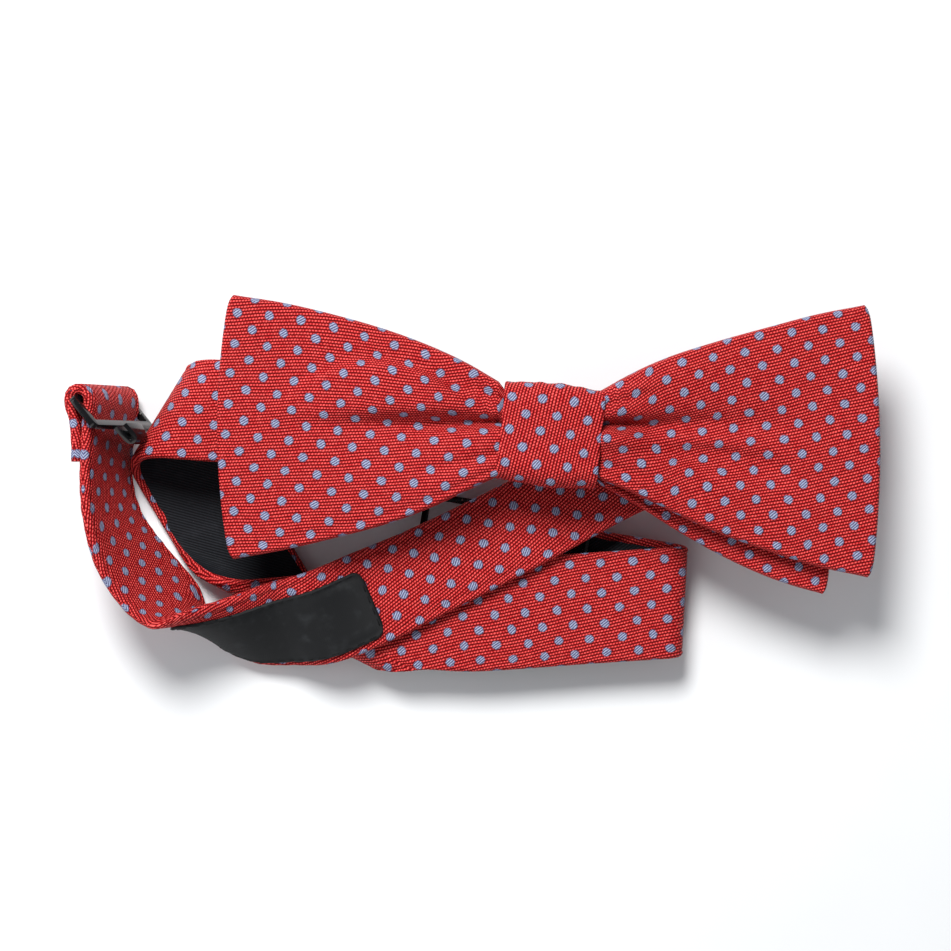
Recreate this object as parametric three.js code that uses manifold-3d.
// A pre-tied silk bow tie, lying face up with its neckband coiled under it, as it is stored.
// Millimetres, +Z up. The origin is the middle of the knot's back, the face that sits on a collar.
// +X runs along the bow, +Y up the knot, and +Z out of the front of the bow.
import * as THREE from "three";
import { mergeVertices } from "three/addons/utils/BufferGeometryUtils.js";
import Module from "manifold-3d";

const wasm = await Module();
wasm.setup();

// ---- driving dimensions ----

const CLEARANCE = 0.3; // between two pieces that touch
const FABRIC = 0.6; // silk with its turnings
const INTERLINING = 0.5;

const BAND = {
  thickness: 2.0,
  knotWidth: 15.2, // where it is gathered behind the knot
  backWidth: 17.0, // the half that carries the label, beside the knot
  endWidth: 21.0, // at the hook and at the eye
  sideWidth: 19.2, // the lined half, beside the knot
  piping: 1.0, // silk turned over the edges of the lining
  layerGap: 0.5, // between stretches that lie on each other
};

const KNOT = { width: 18.6, height: 18.6, fabric: 0.9, corner: 3.2, turn: -5, padding: 0.8 };

const BOW = {
  waistHeight: 14.6, // inside the knot
  neckHeight: 18.2, // where the wings leave the knot
  flare: 2.2, // length over which the waist opens to the neck
  wingThickness: 2.6,
  layerGap: 0.4, // between the front bow and the back bow
};
const FRONT = {
  waistThickness: 4.4,
  ridge: 2.4, // how far the pleats beside the knot stand up
  left: { length: 49.6, top: 25.4, bottom: -23.2, bulge: 2.3, lean: 0.6 },
  right: { length: 49.4, top: 23.2, bottom: -25.8, bulge: 1.8, lean: 0.4 },
};
const BACK = {
  waistThickness: 2.8,
  ridge: 0,
  left: { length: 46.0, top: 21.0, bottom: -19.5, bulge: 1.0, lean: 0 },
  right: { length: 42.6, top: 19.0, bottom: -28.4, bulge: 0.8, lean: -1.0 },
};

const METAL = { bar: 1.3, sheet: 1.2 };
const HOOK = { reach: 6.2, tongue: 3.6, tongueWidth: 8, tip: 3.4, throat: 1.0, sheet: 0.8, turnedIn: 38 };
const EYE = { reach: 10.2 };
const SLIDE = { length: 11.0, offset: 22, bar: 0.8, tab: 5.0, tabFabric: 0.4, tabWidth: 17 };
const END_LOOP = 2.2; // radius of the band's middle round a bar
const STUB = 11.5;
const HOOK_LOOP = 2.0; // turned-back end of the band behind the hook
const LABEL = { thickness: 0.4, topMargin: 3.6, lowMargin: 1.6, threads: 0.5 };
const TACK = { width: 1.6, thickness: 0.4 };

// Heights of the middles of the stretches, above the surface that the tie lies on.
const pitch = BAND.thickness + BAND.layerGap;
const FLOOR_STRETCH = BAND.thickness / 2;
const EYE_STRETCH = 4.0;
const END_STRETCH = EYE_STRETCH + 2 * END_LOOP;
const LABEL_STRETCH = END_STRETCH + pitch;
const KNOT_BACK = LABEL_STRETCH + BAND.thickness / 2 + BAND.layerGap;
const KNOT_STRETCH = KNOT_BACK + KNOT.fabric + CLEARANCE + BAND.thickness / 2;
const BACK_BOW = KNOT_STRETCH + BAND.thickness / 2 + BOW.layerGap;
const FRONT_BOW = BACK_BOW + Math.max(BACK.waistThickness, BOW.wingThickness) + BOW.layerGap;
const PADDING = FRONT_BOW + FRONT.waistThickness + CLEARANCE;
const KNOT_FRONT = PADDING + KNOT.padding + CLEARANCE + KNOT.fabric;
const EYE_LOOP_HEIGHT = END_LOOP + BAND.thickness / 2 + 0.2;

// ---- geometry ----

const UP = new THREE.Vector3(0, 0, 1);
const vec = (x, y, z) => new THREE.Vector3(x, y, z);
const degrees = THREE.MathUtils.degToRad;
const heading = (angle) => vec(Math.cos(degrees(angle)), Math.sin(degrees(angle)), 0);

// A closed mesh from points and faces, turned so that the faces point out.
function closedGeometry(points, faces) {
  let volume = 0;
  for (let i = 0; i < faces.length; i += 3) {
    const [a, b, c] = [points[faces[i]], points[faces[i + 1]], points[faces[i + 2]]];
    volume += a.dot(b.clone().cross(c));
  }
  const order = volume < 0 ? [...faces].reverse() : faces;
  const geometry = new THREE.BufferGeometry().setFromPoints(points);
  geometry.setIndex(order);
  return geometry;
}

// Joins equal rings of points in a row into one closed solid. A ring goes out along one face and back
// along the other, so each end is closed with a ladder between the two faces.
function loft(rings) {
  const count = rings[0].length;
  const faces = [];
  const quad = (a, b, c, d) => faces.push(a, b, c, a, c, d);
  for (let r = 0; r + 1 < rings.length; r++) {
    for (let i = 0; i < count; i++) {
      const j = (i + 1) % count;
      const corners = [r * count + i, r * count + j, (r + 1) * count + j, (r + 1) * count + i];
      if (i >= count / 2) corners.push(corners.shift());
      quad(...corners);
    }
  }
  const last = (rings.length - 1) * count;
  for (let i = 0; i + 1 < count / 2; i++) {
    const opposite = count - 1 - i;
    quad(i, opposite, opposite - 1, i + 1);
    quad(last + i, last + i + 1, last + opposite - 1, last + opposite);
  }
  return closedGeometry(rings.flat(), faces);
}

function solid(geometry) {
  const bare = geometry.clone();
  for (const name of ["normal", "uv", "uv1"]) bare.deleteAttribute(name);
  const merged = mergeVertices(bare, 1e-4);
  return new wasm.Manifold(
    new wasm.Mesh({
      numProp: 3,
      vertProperties: merged.attributes.position.array,
      triVerts: new Uint32Array(merged.index.array),
    }),
  );
}

function geometryOf(body) {
  const mesh = body.getMesh();
  const geometry = new THREE.BufferGeometry();
  geometry.setAttribute("position", new THREE.BufferAttribute(mesh.vertProperties, 3));
  geometry.setIndex(new THREE.BufferAttribute(mesh.triVerts, 1));
  return geometry;
}

const cut = (body, ...tools) =>
  geometryOf(tools.reduce((left, tool) => left.subtract(solid(tool)), solid(body)));
const join = (body, ...others) =>
  geometryOf(others.reduce((whole, other) => whole.add(solid(other)), solid(body)));

// ---- bands ----

// A station is one line across a band: its middle, the direction from its low edge to its top edge,
// and its length. Across a fold that runs at a slant, the line lies along the fold.
const station = (middle, across, width) => ({ middle, across: across.clone().normalize(), width });

// Rolls a band half a turn about the line `crease`, towards the unit vector `side`.
function fold({ at, along, crease, side, radius, width, steps = 8 }) {
  const line = crease.clone().normalize();
  const slant = along.dot(line);
  const forward = along.clone().addScaledVector(line, -slant);
  const sine = forward.length();
  forward.normalize();
  const stations = [];
  for (let i = 0; i <= steps; i++) {
    const turn = (Math.PI * i) / steps;
    const middle = at
      .clone()
      .addScaledVector(line, (radius * turn * slant) / sine)
      .addScaledVector(forward, radius * Math.sin(turn))
      .addScaledVector(side, radius * (1 - Math.cos(turn)));
    stations.push(station(middle, line, width / sine));
  }
  return stations;
}

// The direction of a band after it is folded over a line in its own plane.
const reflected = (angle, crease) => 2 * crease - angle;

// The edges of a band as two smooth curves with the same parameter.
function rails(stations) {
  const edge = (sign) =>
    new THREE.CatmullRomCurve3(
      stations.map((s) => s.middle.clone().addScaledVector(s.across, (sign * s.width) / 2)),
      false,
      "centripetal",
    );
  return { low: edge(-1), top: edge(1), spans: stations.length - 1, stations };
}

// The parameters at which a band is sampled between two of its stations: a span that is long or
// twisted is taken in several steps.
function samples({ stations, spans }, from, to) {
  const longest = 9;
  const mostTwist = 0.12;
  const values = [from];
  for (let span = Math.floor(from); span < to; span++) {
    const [here, next] = [stations[span], stations[span + 1]];
    const length = here.middle.distanceTo(next.middle);
    const twist = here.across.angleTo(next.across);
    const steps = Math.max(1, Math.ceil(length / longest), Math.ceil(twist / mostTwist));
    for (let i = 1; i <= steps; i++) {
      const value = span + i / steps;
      if (value > from + 1e-6 && value < to - 1e-6) values.push(value);
    }
  }
  values.push(to);
  return values.map((value) => value / spans);
}

// One layer of a band, from `below` to `above` its middle surface. The show side is below.
function ribbon(band, options) {
  const { from = 0, to = band.spans, inset = 0, lowInset = inset, topInset = inset } = options;
  const { round, below, above } = options;
  const middle = (below + above) / 2;
  const rings = samples(band, from, to).map((t) => {
    const low = band.low.getPoint(t);
    const top = band.top.getPoint(t);
    const across = top.clone().sub(low).normalize();
    const step = 1e-3;
    const ahead = band.low.getPoint(Math.min(1, t + step)).add(band.top.getPoint(Math.min(1, t + step)));
    const behind = band.low.getPoint(Math.max(0, t - step)).add(band.top.getPoint(Math.max(0, t - step)));
    const normal = ahead.sub(behind).cross(across).normalize();
    const width = low.distanceTo(top);
    const point = (along, height) =>
      low.clone().addScaledVector(across, along).addScaledVector(normal, height);
    const start = lowInset + round;
    const end = width - topInset - round;
    const face = [0, 1, 2, 3].map((column) => start + ((end - start) * column) / 3);
    return [
      ...face.map((along) => point(along, below)),
      point(width - topInset, middle),
      ...face.reverse().map((along) => point(along, above)),
      point(lowInset, middle),
    ];
  });
  return loft(rings);
}

// ---- the two halves of the neckband ----

const DOWN = vec(0, 0, -1);

// The lined half goes out to the left behind the wing, curls down, runs back along the surface, folds
// over, and lies along the front of the coil. Its end is turned under and holds the eye.
const CURL = { reach: 71.2, y: 4.8, crease: 58.5 };
const FLOOR_LENGTH = 26.0;
const END_HEADING = 3.7;
const END_LENGTH = 62.4;
const END_CREASE = 87;
const EYE_LENGTH = 38;
const curlRadius = (KNOT_STRETCH - FLOOR_STRETCH) / 2;
const curlStart = vec(curlRadius - CURL.reach, CURL.y, KNOT_STRETCH);
const sideHeading = THREE.MathUtils.radToDeg(Math.atan2(curlStart.y, curlStart.x));
const floorHeading = reflected(sideHeading, CURL.crease);
const eyeHeading = reflected(END_HEADING, END_CREASE);

const forward = (point, angle, distance) =>
  point.clone().addScaledVector(heading(angle), distance);

const knotMiddleBack = vec(0, 0, KNOT_STRETCH);
const knotExit = forward(knotMiddleBack, sideHeading, KNOT.width / 2);
const curl = fold({
  at: curlStart,
  along: heading(sideHeading),
  crease: heading(CURL.crease),
  side: DOWN,
  radius: curlRadius,
  width: BAND.sideWidth,
  steps: 10,
});
const turnOver = fold({
  at: forward(curl.at(-1).middle, floorHeading, FLOOR_LENGTH),
  along: heading(floorHeading),
  crease: heading((floorHeading + END_HEADING) / 2),
  side: UP,
  radius: (END_STRETCH - FLOOR_STRETCH) / 2,
  width: BAND.sideWidth,
});
const endFold = fold({
  at: forward(turnOver.at(-1).middle, END_HEADING, END_LENGTH),
  along: heading(END_HEADING),
  crease: heading(END_CREASE + 180),
  side: DOWN,
  radius: END_LOOP,
  width: BAND.endWidth,
});
const eyeRun = endFold.at(-1).middle;
const eyeAcross = heading(eyeHeading + 90);
const eyeLoop = fold({
  at: forward(eyeRun, eyeHeading, EYE_LENGTH).setZ(EYE_LOOP_HEIGHT + END_LOOP),
  along: heading(eyeHeading),
  crease: eyeAcross,
  side: DOWN,
  radius: END_LOOP,
  width: BAND.endWidth,
});

// A station parallel to another, a little further along, which keeps the band flat beyond a fold.
const beside = (other, angle, distance) =>
  station(forward(other.middle, angle, distance), other.across, other.width);
const slideMiddle = forward(eyeRun, eyeHeading, SLIDE.offset);
const returnEnd = SLIDE.offset + SLIDE.tab + CLEARANCE;
const linedHalf = rails([
  station(forward(knotMiddleBack, sideHeading, CLEARANCE), heading(sideHeading - 90), BAND.knotWidth),
  station(knotExit, heading(sideHeading - 90), BAND.knotWidth),
  station(forward(knotExit, sideHeading, 14), heading(sideHeading - 90), BAND.sideWidth),
  station(forward(knotExit, sideHeading, 36), heading(sideHeading - 90), BAND.sideWidth),
  ...curl,
  beside(curl.at(-1), floorHeading, 2),
  beside(turnOver[0], floorHeading, -2),
  ...turnOver,
  station(forward(turnOver.at(-1).middle, END_HEADING, 24), heading(END_HEADING - 90), BAND.endWidth),
  station(forward(turnOver.at(-1).middle, END_HEADING, 48), heading(END_HEADING - 90), BAND.endWidth),
  ...endFold,
  station(forward(eyeRun, eyeHeading, 7), eyeAcross, BAND.endWidth),
  station(forward(eyeRun, eyeHeading, 16), eyeAcross, BAND.endWidth),
  station(forward(eyeRun, eyeHeading, 29), eyeAcross, BAND.endWidth),
  ...eyeLoop,
  station(
    forward(eyeRun, eyeHeading, returnEnd + 4).setZ(EYE_LOOP_HEIGHT - END_LOOP),
    eyeAcross,
    BAND.endWidth,
  ),
  station(
    forward(eyeRun, eyeHeading, returnEnd).setZ(EYE_LOOP_HEIGHT - END_LOOP),
    eyeAcross,
    BAND.endWidth,
  ),
]);

// The label half goes out to the right behind the wing, folds back under it, crosses over the lined
// half with the label, and stands on its edge round the left of the coil, where its end holds the hook.
const LABEL_FOLD = { x: 23, y: -1.3, crease: 102.75 };
const rightHeading = THREE.MathUtils.radToDeg(Math.atan2(LABEL_FOLD.y, LABEL_FOLD.x));
const rightAcross = heading(rightHeading + 90);
const labelFold = fold({
  at: vec(LABEL_FOLD.x, LABEL_FOLD.y, KNOT_STRETCH),
  along: heading(rightHeading),
  crease: heading(LABEL_FOLD.crease),
  side: DOWN,
  radius: (KNOT_STRETCH - LABEL_STRETCH) / 2,
  width: BAND.backWidth,
});

// A line across the standing stretch: its foot and its top edge in plan, and the height of its foot.
// The top's height follows from the width of the band.
function leaning(foot, top, footHeight, width = BAND.endWidth) {
  const low = vec(foot[0], foot[1], footHeight);
  const reach = Math.hypot(top[0] - foot[0], top[1] - foot[1]);
  const high = vec(top[0], top[1], footHeight + Math.sqrt(Math.max(0, width ** 2 - reach ** 2)));
  return station(low.clone().add(high).multiplyScalar(0.5), high.sub(low), width);
}

const standing = [
  station(vec(14.1, -6.5, LABEL_STRETCH), heading(118), BAND.backWidth),
  station(vec(-6.6, -17.5, LABEL_STRETCH), heading(116.5), BAND.backWidth),
  station(vec(-23.8, -26.0, LABEL_STRETCH), heading(115), BAND.backWidth + 0.4),
  station(vec(-33.5, -30.4, LABEL_STRETCH + 0.2), heading(113), BAND.backWidth + 1.2),
  leaning([-40.4, -42.8], [-45.9, -25.7], LABEL_STRETCH - 1.3, 18.7),
  leaning([-48.0, -43.4], [-52.9, -27.8], LABEL_STRETCH - 7.1, 19.4),
  leaning([-55.6, -43.0], [-61.0, -30.9], 1.6, 20.0),
  leaning([-60.6, -40.4], [-66.4, -32.7], 1.4, 20.4),
  leaning([-64.2, -36.6], [-70.4, -34.2], 1.3),
  leaning([-65.6, -33.4], [-73.0, -35.4], 1.3),
  leaning([-67.0, -29.2], [-76.0, -34.6], 1.3),
  leaning([-69.9, -25.4], [-79.7, -31.4], 1.5),
  leaning([-73.8, -20.8], [-84.0, -24.4], 1.9),
  leaning([-78.3, -14.4], [-86.1, -15.2], 2.1),
  leaning([-80.1, -7.0], [-86.5, -7.0], 2.1),
];
const LOOP_FOOT = [-78.7, 6.6];
const LOOP_TOP = [-85.8, 6.6];
const loopStart = leaning(LOOP_FOOT, LOOP_TOP, 2.8);
const loopAlong = heading(90);
const loopAcross = loopStart.across;
const outwards = loopAlong.clone().cross(loopAcross).negate();
const hookLoop = fold({
  at: loopStart.middle,
  along: loopAlong,
  crease: loopAcross,
  side: outwards,
  radius: HOOK_LOOP,
  width: BAND.endWidth,
});
const stubGap = BAND.thickness + CLEARANCE;
const labelHalf = rails([
  station(forward(knotMiddleBack, rightHeading, CLEARANCE), rightAcross, BAND.knotWidth),
  station(forward(knotMiddleBack, rightHeading, KNOT.width / 2), rightAcross, BAND.knotWidth),
  ...labelFold,
  ...standing,
  ...hookLoop,
  station(
    loopStart.middle.clone().addScaledVector(outwards, stubGap + 0.5).addScaledVector(loopAlong, -4.5),
    loopAcross,
    BAND.endWidth,
  ),
  station(
    loopStart.middle.clone().addScaledVector(outwards, stubGap + 0.1).addScaledVector(loopAlong, -STUB),
    loopAcross,
    BAND.endWidth,
  ),
]);

// ---- the bow ----

const KNOT_SWING = (KNOT.height / 2) * Math.sin(degrees(Math.abs(KNOT.turn)));
const WAIST_END = KNOT.width / 2 + KNOT_SWING + CLEARANCE;
const NECK = WAIST_END + BOW.flare;
const ALONG_WING = [0.1, 0.24, 0.42, 0.64, 0.86, 1];
const UP_WING = [0, 0.06, 0.25, 0.38, 0.5, 0.62, 0.75, 0.94, 1];

// How far the edges of a wing have opened, and how high the pleats stand, along it and across it.
const opening = (f) => 1 - (1 - f) ** 1.6;
const pleats = (f, v) => (1 - f) ** 2 * Math.sin(2 * Math.PI * v) ** 2;

// One section of a bow: `place` gives a point's x and y, from 0 at its low edge to 1 at its top edge.
function bowRing(place, low, high, edge) {
  const rim = (v) => (v === 0 || v === 1 ? edge : 0);
  const under = UP_WING.map((v) => vec(...place(v), low + rim(v)));
  const over = UP_WING.map((v) => vec(...place(v), high(v) - rim(v)));
  return [...under, ...over.reverse()];
}

// A whole bow from the end of one wing, through the knot, to the end of the other. `skin` is how far
// the surface lies inside the bow's outside, and `sheet` gives a flat layer in place of the full shape.
function bow(shape, base, skin = 0, sheet = null) {
  const low = base + skin;
  const rise = (thickness) => (sheet ? low + sheet : base + thickness - skin);
  const edge = sheet ? sheet / 3 : 0.5;
  const across = (bottom, top) => (v) => bottom + skin + (top - bottom - 2 * skin) * v;
  const sideRings = (side, wing) => {
    const wait = [];
    for (const f of ALONG_WING) {
      const open = opening(f);
      const bottom = -BOW.neckHeight / 2 + (wing.bottom + BOW.neckHeight / 2) * open;
      const top = BOW.neckHeight / 2 + (wing.top - BOW.neckHeight / 2) * open;
      const y = across(bottom, top);
      const end = (v) => wing.length + wing.bulge * 4 * v * (1 - v) - wing.lean * (2 * v - 1) - skin;
      const place = (v) => [side * (NECK + (end(v) + WAIST_END - NECK) * f), y(v)];
      wait.push(bowRing(place, low, (v) => rise(BOW.wingThickness + shape.ridge * pleats(f, v)), edge));
    }
    return wait;
  };
  const straight = (x, height, thickness, ridge) => {
    const y = across(-height / 2, height / 2);
    return bowRing((v) => [x, y(v)], low, (v) => rise(thickness + ridge * pleats(0, v)), edge);
  };
  const neck = (side) => straight(side * NECK, BOW.neckHeight, BOW.wingThickness, shape.ridge);
  const waist = (side) => straight(side * WAIST_END, BOW.waistHeight, shape.waistThickness, 0);
  return loft([
    ...sideRings(-1, shape.left).reverse(),
    neck(-1),
    waist(-1),
    waist(1),
    neck(1),
    ...sideRings(1, shape.right),
  ]);
}

// The silk of a bow is a tube, with the slit behind the knot through which it was turned right side out.
function bowShell(shape, base) {
  const slit = new THREE.BoxGeometry(9, 5, 4 * FABRIC).translate(0, 0, base);
  return cut(bow(shape, base), bow(shape, base, FABRIC), slit);
}

const bowInterlining = (shape, base) => bow(shape, base, FABRIC + CLEARANCE, INTERLINING);

// ---- the knot ----

// A rectangle with round corners, from its middle.
function roundedRectangle(width, height, corner, Path = THREE.Shape) {
  const [x, y] = [width / 2, height / 2];
  const path = new Path();
  path.moveTo(x - corner, -y);
  path.absarc(x - corner, -y + corner, corner, -Math.PI / 2, 0);
  path.absarc(x - corner, y - corner, corner, 0, Math.PI / 2);
  path.absarc(-x + corner, y - corner, corner, Math.PI / 2, Math.PI);
  path.absarc(-x + corner, -y + corner, corner, Math.PI, 1.5 * Math.PI);
  return path;
}

const knotTurn = degrees(KNOT.turn);
const knotDepth = KNOT_FRONT - KNOT_BACK;
const knotMiddle = (KNOT_FRONT + KNOT_BACK) / 2;

function knotWrap() {
  const outline = roundedRectangle(KNOT.height, knotDepth, KNOT.corner);
  const inner = [KNOT.height - 2 * KNOT.fabric, knotDepth - 2 * KNOT.fabric];
  outline.holes.push(roundedRectangle(...inner, KNOT.corner - KNOT.fabric, THREE.Path));
  const wrap = new THREE.ExtrudeGeometry(outline, {
    depth: KNOT.width,
    bevelEnabled: false,
    curveSegments: 5,
  });
  wrap.translate(0, 0, -KNOT.width / 2);
  wrap.applyMatrix4(new THREE.Matrix4().makeBasis(vec(0, 1, 0), UP, vec(1, 0, 0)));
  return wrap.rotateZ(knotTurn).translate(0, 0, knotMiddle);
}

function knotPadding() {
  const plate = new THREE.BoxGeometry(KNOT.width - 2, BOW.waistHeight - 3, KNOT.padding);
  return plate.rotateZ(knotTurn).translate(0, 0, PADDING + KNOT.padding / 2);
}

function knotSeam() {
  const thread = new THREE.BoxGeometry(KNOT.width - 5, LABEL.threads, LABEL.threads);
  const height = KNOT_BACK - CLEARANCE - LABEL.threads / 2;
  return thread.translate(0, KNOT.height / 2 - KNOT.corner, height).rotateZ(knotTurn);
}

// ---- the metal ----

function extruded(shape, depth) {
  const body = new THREE.ExtrudeGeometry(shape, { depth, bevelEnabled: false, curveSegments: 5 });
  return body.translate(0, 0, -depth / 2);
}

// A flat ring whose first bar lies on the local X axis, with its far bar at `reach` along local Y.
function ring(reach) {
  const inner = BAND.endWidth + 2 * CLEARANCE + 0.4;
  const outline = roundedRectangle(inner + 2 * METAL.bar, reach + METAL.bar, 1.2);
  outline.holes.push(roundedRectangle(inner, reach - METAL.bar, 0.6, THREE.Path));
  return extruded(outline, METAL.sheet).translate(0, reach / 2, 0);
}

const hookMiddle = loopStart.middle.clone().addScaledVector(outwards, HOOK_LOOP);
const inwards = outwards.clone().negate();
const hookRise = HOOK_LOOP + BAND.thickness / 2 + CLEARANCE + METAL.sheet / 2 + 0.2;
const hookDrop = Math.sqrt(HOOK.reach ** 2 - hookRise ** 2);
const hookReach = inwards
  .clone()
  .multiplyScalar(hookRise)
  .addScaledVector(loopAlong, -hookDrop);

// The hook lies folded down on the front of its loop. Its tongue is bent back on itself.
function hook() {
  const reach = hookReach.clone().normalize();
  const basis = new THREE.Matrix4().makeBasis(loopAcross, reach, loopAcross.clone().cross(reach));
  const frame = ring(HOOK.reach).applyMatrix4(basis);
  const bend = HOOK.throat / 2 + HOOK.sheet;
  const lip = HOOK.tongue * 0.35;
  const profile = new THREE.Shape();
  profile.moveTo(0, 0);
  profile.lineTo(HOOK.tongue, 0);
  profile.absarc(HOOK.tongue, bend, bend, -Math.PI / 2, Math.PI / 2);
  profile.lineTo(lip, 2 * bend);
  profile.lineTo(lip, 2 * bend - HOOK.sheet);
  profile.lineTo(HOOK.tongue, 2 * bend - HOOK.sheet);
  profile.absarc(HOOK.tongue, bend, HOOK.throat / 2, Math.PI / 2, -Math.PI / 2, true);
  profile.lineTo(0, HOOK.sheet);
  const [sine, cosine] = [Math.sin(degrees(HOOK.turnedIn)), Math.cos(degrees(HOOK.turnedIn))];
  const down = loopAlong.clone().multiplyScalar(-cosine).addScaledVector(inwards, sine);
  const lift = loopAlong.clone().multiplyScalar(sine).addScaledVector(inwards, cosine);
  const side = down.clone().cross(lift);
  const tongue = extruded(profile, HOOK.tongueWidth);
  const [wide, narrow] = [HOOK.tongueWidth / 2, HOOK.tip / 2];
  const end = HOOK.tongue + bend;
  const taper = new THREE.Shape([
    new THREE.Vector2(-1, -wide),
    new THREE.Vector2(end + 1, -narrow),
    new THREE.Vector2(end + 1, narrow),
    new THREE.Vector2(-1, wide),
  ]);
  const tapered = extruded(taper, 20).applyMatrix4(
    new THREE.Matrix4().makeBasis(vec(1, 0, 0), vec(0, 0, 1), vec(0, -1, 0)),
  );
  const blade = geometryOf(solid(tongue).intersect(solid(tapered)));
  blade.translate(0, -HOOK.sheet / 2, 0);
  blade.applyMatrix4(new THREE.Matrix4().makeBasis(down, lift, side));
  blade.translate(...hookReach.toArray());
  return join(frame, blade).translate(...hookMiddle.toArray());
}

const eyeMiddle = forward(eyeRun, eyeHeading, EYE_LENGTH).setZ(EYE_LOOP_HEIGHT);

function eye() {
  const basis = new THREE.Matrix4().makeBasis(heading(eyeHeading - 90), heading(eyeHeading), UP);
  return ring(EYE.reach).applyMatrix4(basis).translate(...eyeMiddle.toArray());
}

const slideBasis = new THREE.Matrix4().makeBasis(heading(eyeHeading), heading(eyeHeading + 90), UP);
const mainBottom = EYE_STRETCH - BAND.thickness / 2;
const tabTop = mainBottom - CLEARANCE;
const tabBottom = 0.2;
const slideBarHeight = (tabTop + tabBottom) / 2;
const onSlide = (geometry) =>
  geometry.applyMatrix4(slideBasis).translate(slideMiddle.x, slideMiddle.y, 0);

// The slide's two outer bars cross over the band and its middle bar runs under it, through the tab.
function slide() {
  const inner = BAND.endWidth + 2 * CLEARANCE + 0.4;
  const barTop = EYE_STRETCH + BAND.thickness / 2 + CLEARANCE + SLIDE.bar;
  const barLow = slideBarHeight - SLIDE.bar / 2;
  const bar = (x, height) =>
    new THREE.BoxGeometry(SLIDE.bar, inner + SLIDE.bar, SLIDE.bar).translate(x, 0, height);
  const cheek = (side) =>
    new THREE.BoxGeometry(SLIDE.length, SLIDE.bar, barTop - barLow).translate(
      0,
      (side * (inner + SLIDE.bar)) / 2,
      (barTop + barLow) / 2,
    );
  const outer = (SLIDE.length - SLIDE.bar) / 2;
  const over = barTop - SLIDE.bar / 2;
  return onSlide(join(cheek(-1), cheek(1), bar(-outer, over), bar(outer, over), bar(0, slideBarHeight)));
}

function slideTab() {
  const height = tabTop - tabBottom;
  const length = SLIDE.tab + height / 2;
  const outline = roundedRectangle(length, height, 0.7);
  const hole = new THREE.Path();
  const hollow = height / 2 - SLIDE.tabFabric;
  const barX = -length / 2 + height / 2;
  hole.absarc(barX, 0, hollow, 0, 2 * Math.PI);
  outline.holes.push(hole);
  const tab = extruded(outline, SLIDE.tabWidth);
  tab.applyMatrix4(new THREE.Matrix4().makeBasis(vec(1, 0, 0), UP, vec(0, -1, 0)));
  return onSlide(tab.translate(-barX, 0, slideBarHeight));
}

// ---- the pieces ----

const silk = { color: "#cc3333", roughness: 0.55, metalness: 0 };
const twill = { color: "#0f1219", roughness: 0.7, metalness: 0 };
const canvas = { color: "#d9d2c4", roughness: 0.9, metalness: 0 };
const enamel = { color: "#0b0b0d", roughness: 0.25, metalness: 0.6 };
const satin = { color: "#191c20", roughness: 0.5, metalness: 0 };
const thread = { color: "#b32a2c", roughness: 0.6, metalness: 0 };

const half = BAND.thickness / 2;
const firstStanding = 2 + labelFold.length;
const standingEnd = firstStanding + standing.length;
const labelSpan = { from: firstStanding + 3, to: firstStanding + 8.6 };
const labelBelow = -half - CLEARANCE - LABEL.thickness;
const labelInsets = { lowInset: LABEL.lowMargin, topInset: LABEL.topMargin };

function labelHalfShell() {
  const hollow = half - FABRIC + 0.1;
  const outside = ribbon(labelHalf, { from: 0.04, round: half, below: -half, above: half });
  const inside = { from: 0, to: standingEnd - 0.4, inset: FABRIC, round: 0.2 };
  return cut(outside, ribbon(labelHalf, { ...inside, below: -hollow, above: hollow }));
}

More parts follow.
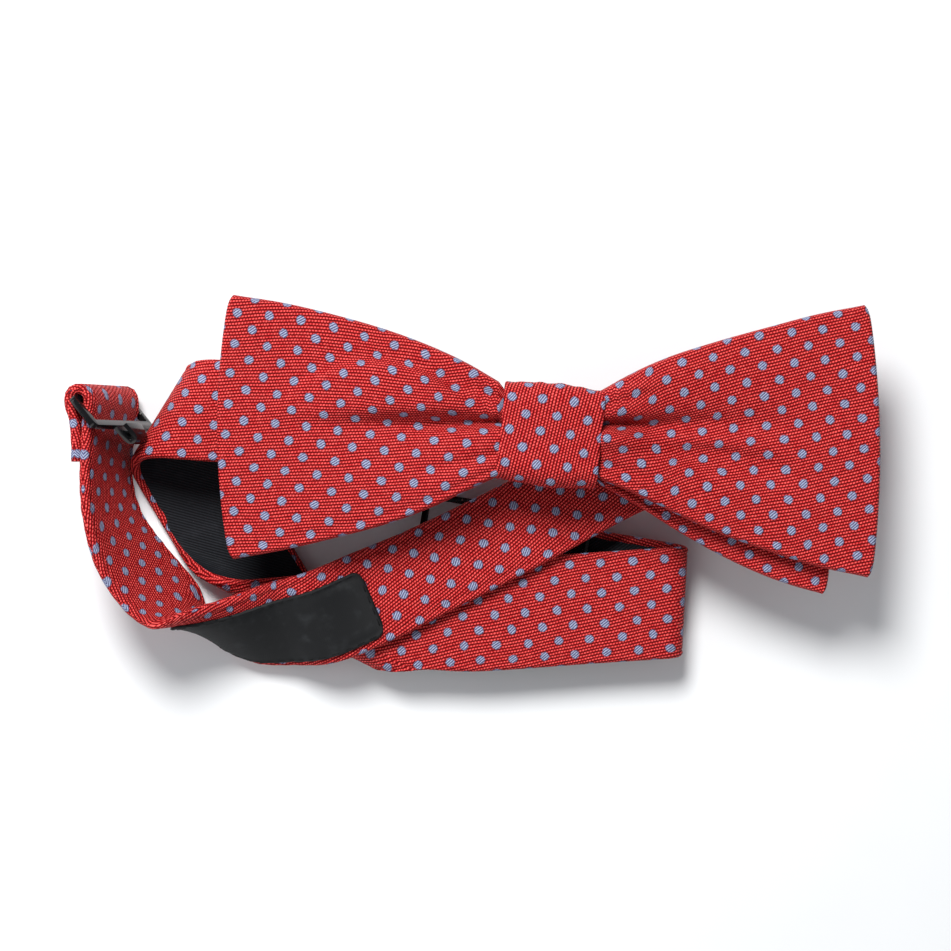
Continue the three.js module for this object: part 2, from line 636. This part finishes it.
function linedHalfShell() {
  const outside = ribbon(linedHalf, { round: half / 2, below: -half, above: half });
  const recess = { from: 0.1, to: linedHalf.spans - 0.2, inset: BAND.piping, round: 0.1 };
  return cut(outside, ribbon(linedHalf, { ...recess, below: -half + FABRIC, above: half + 0.6 }));
}

const liningFrom = half - 0.5;
const linedInner = { from: 0.15, to: linedHalf.spans - 0.3, inset: BAND.piping + CLEARANCE, round: 0.15 };
const tackAcross = (band, at, below) => {
  const reach = TACK.width / 2 / 10;
  const span = { from: at - reach, to: at + reach, inset: 2.5, round: 0.1 };
  return ribbon(band, { ...span, below, above: below + TACK.thickness });
};

const PIECES = {
  front_bow: [silk, bowShell(FRONT, FRONT_BOW)],
  front_bow_interlining: [canvas, bowInterlining(FRONT, FRONT_BOW)],
  back_bow: [silk, bowShell(BACK, BACK_BOW)],
  back_bow_interlining: [canvas, bowInterlining(BACK, BACK_BOW)],
  knot_wrap: [silk, knotWrap()],
  knot_padding: [canvas, knotPadding()],
  knot_seam: [thread, knotSeam()],
  label_band: [silk, labelHalfShell()],
  label_band_interlining: [
    canvas,
    ribbon(labelHalf, {
      from: 0.1,
      to: standingEnd - 0.6,
      inset: FABRIC + CLEARANCE,
      round: 0.1,
      below: -INTERLINING / 2,
      above: INTERLINING / 2,
    }),
  ],
  lined_band: [silk, linedHalfShell()],
  lined_band_lining: [twill, ribbon(linedHalf, { ...linedInner, below: liningFrom, above: half - 0.05 })],
  lined_band_interlining: [
    canvas,
    ribbon(linedHalf, { ...linedInner, below: -half + FABRIC + 0.2, above: liningFrom - 0.2 }),
  ],
  label: [
    satin,
    ribbon(labelHalf, {
      ...labelSpan,
      ...labelInsets,
      round: 0.1,
      below: labelBelow,
      above: labelBelow + LABEL.thickness,
    }),
  ],
  hook: [enamel, hook()],
  eye: [enamel, eye()],
  slide: [enamel, slide()],
  slide_tab: [silk, slideTab()],
  hook_end_tack: [thread, tackAcross(labelHalf, labelHalf.spans - 0.3, half + CLEARANCE)],
};

const tie = new THREE.Group();
for (const [name, [finish, geometry]] of Object.entries(PIECES)) {
  const mesh = new THREE.Mesh(geometry, new THREE.MeshStandardMaterial(finish));
  mesh.name = name;
  mesh.position.z = -KNOT_BACK;
  tie.add(mesh);
}

export default tie;
